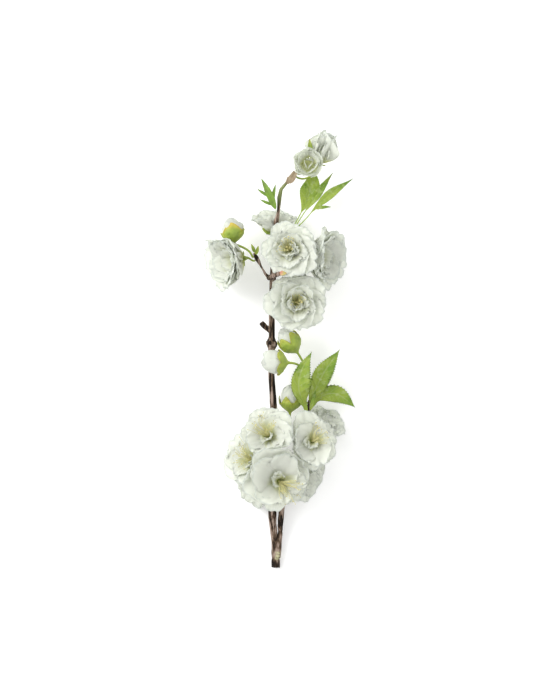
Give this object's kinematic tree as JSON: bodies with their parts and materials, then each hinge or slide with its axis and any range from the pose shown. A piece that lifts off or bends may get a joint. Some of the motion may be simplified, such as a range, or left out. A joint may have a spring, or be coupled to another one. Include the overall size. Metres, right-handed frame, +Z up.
{
  "type": "cherry blossom sprig",
  "caption": "Cut sprig of double white cherry blossom lying on a surface: brown forked stem, clustered open blossoms, green-cupped buds and toothed leaves.",
  "frame": {"origin": "middle of the base of the sprig's box, on the surface that it lies on", "axes": "+Y along the sprig from its cut end to its tip, +Z up from the surface, +X to the right of the sprig seen from above with its tip away from the viewer"},
  "size_m": [0.1342, 0.3988, 0.0608],
  "materials": {
    "petal": "thin off-white petal fabric, soft and faintly translucent, greenish towards the centre",
    "stamen": "pale yellow-green filaments with darker yellow tips",
    "calyx": "satin lime green",
    "leaf": "green leaf fabric, yellower along the veins and at the base",
    "bark": "moulded brown bark, rough and streaked"
  },
  "bodies": {
    "root": {"blossom_left_calyx": "calyx", "blossom_left_inner_petals": "petal", "blossom_left_outer_petals": "petal", "blossom_lower_far_right_calyx": "calyx", "blossom_lower_far_right_petals": "petal", "blossom_lower_front_calyx": "calyx", "blossom_lower_front_inner_petals": "petal", "blossom_lower_front_outer_petals": "petal", "blossom_lower_front_stamens": "stamen", "blossom_lower_left_calyx": "calyx", "blossom_lower_left_inner_petals": "petal", "blossom_lower_left_outer_petals": "petal", "blossom_lower_left_stamens": "stamen", "blossom_lower_right_calyx": "calyx", "blossom_lower_right_inner_petals": "petal", "blossom_lower_right_outer_petals": "petal", "blossom_lower_right_stamens": "stamen", "blossom_lower_under_left_calyx": "calyx", "blossom_lower_under_left_petals": "petal", "blossom_lower_under_right_calyx": "calyx", "blossom_lower_under_right_petals": "petal", "blossom_lower_upper_calyx": "calyx", "blossom_lower_upper_inner_petals": "petal", "blossom_lower_upper_outer_petals": "petal", "blossom_lower_upper_stamens": "stamen", "blossom_upper_back_calyx": "calyx", "blossom_upper_back_petals": "petal", "blossom_upper_front_calyx": "calyx", "blossom_upper_front_inner_petals": "petal", "blossom_upper_front_outer_petals": "petal", "blossom_upper_front_stamens": "stamen", "blossom_upper_lower_calyx": "calyx", "blossom_upper_lower_inner_petals": "petal", "blossom_upper_lower_outer_petals": "petal", "blossom_upper_lower_stamens": "stamen", "blossom_upper_right_calyx": "calyx", "blossom_upper_right_inner_petals": "petal", "blossom_upper_right_outer_petals": "petal", "bud_leaf_side_calyx": "calyx", "bud_leaf_side_petals": "petal", "bud_left_calyx": "calyx", "bud_left_petals": "petal", "bud_lower_calyx": "calyx", "bud_lower_petals": "petal", "bud_main_side_calyx": "calyx", "bud_main_side_petals": "petal", "half_open_far_calyx": "calyx", "half_open_far_petals": "petal", "half_open_near_calyx": "calyx", "half_open_near_petals": "petal", "leaf_middle_drooping": "leaf", "leaf_middle_left": "leaf", "leaf_middle_right": "leaf", "leaf_upper_broad": "leaf", "leaf_upper_lobed": "leaf", "leaf_upper_long": "leaf", "leaf_upper_narrow": "leaf", "left_spur": "bark", "main_stem": "bark", "side_branch": "bark"}
  },
  "joints": []
}
